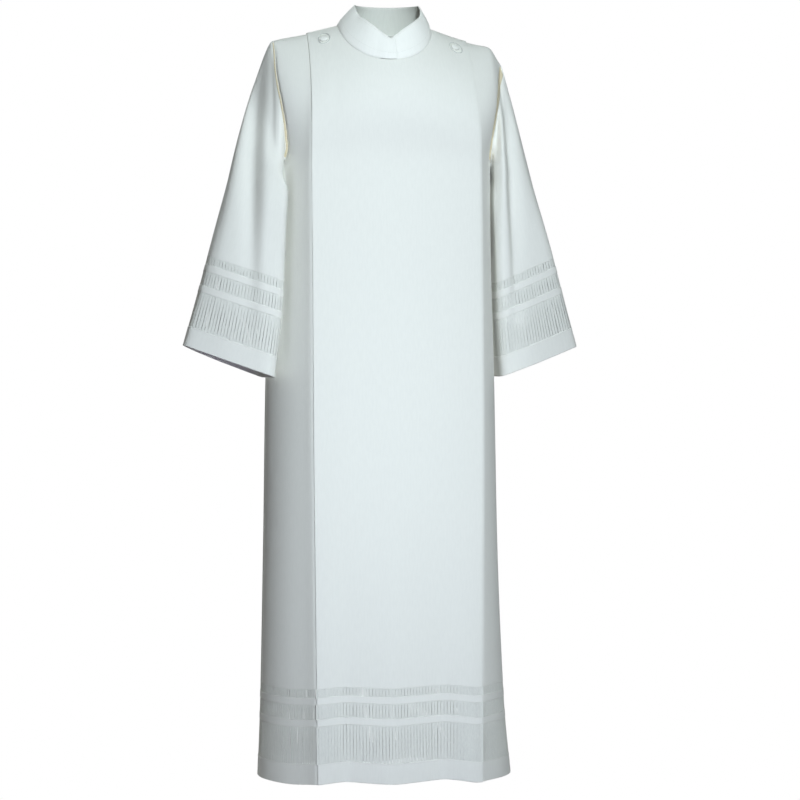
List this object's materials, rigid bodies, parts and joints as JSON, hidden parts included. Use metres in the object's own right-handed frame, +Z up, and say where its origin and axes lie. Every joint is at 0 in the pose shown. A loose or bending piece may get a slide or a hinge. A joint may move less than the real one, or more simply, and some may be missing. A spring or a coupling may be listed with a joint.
{
  "type": "alb robe",
  "caption": "Long white alb with a wide pleated front, set-in sleeves, a stand collar, shoulder buttons and openwork bands at hem and cuffs, held as if worn.",
  "frame": {"origin": "middle of the neck, level with the points where the collar meets the shoulders, where a wearer or a stand carries the robe", "axes": "-Y is the front of the garment, +X the wearer's left, +Z up towards the collar"},
  "size_m": [0.7801, 0.3736, 1.4903],
  "materials": {
    "cloth": "matte plain weave",
    "collar": "matte plain weave over interfacing",
    "button": "matte cloth cover"
  },
  "bodies": {
    "root": {"front_panel": "cloth", "front_side_right": "cloth", "front_side_left": "cloth", "back_panel": "cloth", "sleeve_right": "cloth", "sleeve_left": "cloth", "collar": "collar", "button_right": "button", "button_left": "button"}
  },
  "joints": []
}
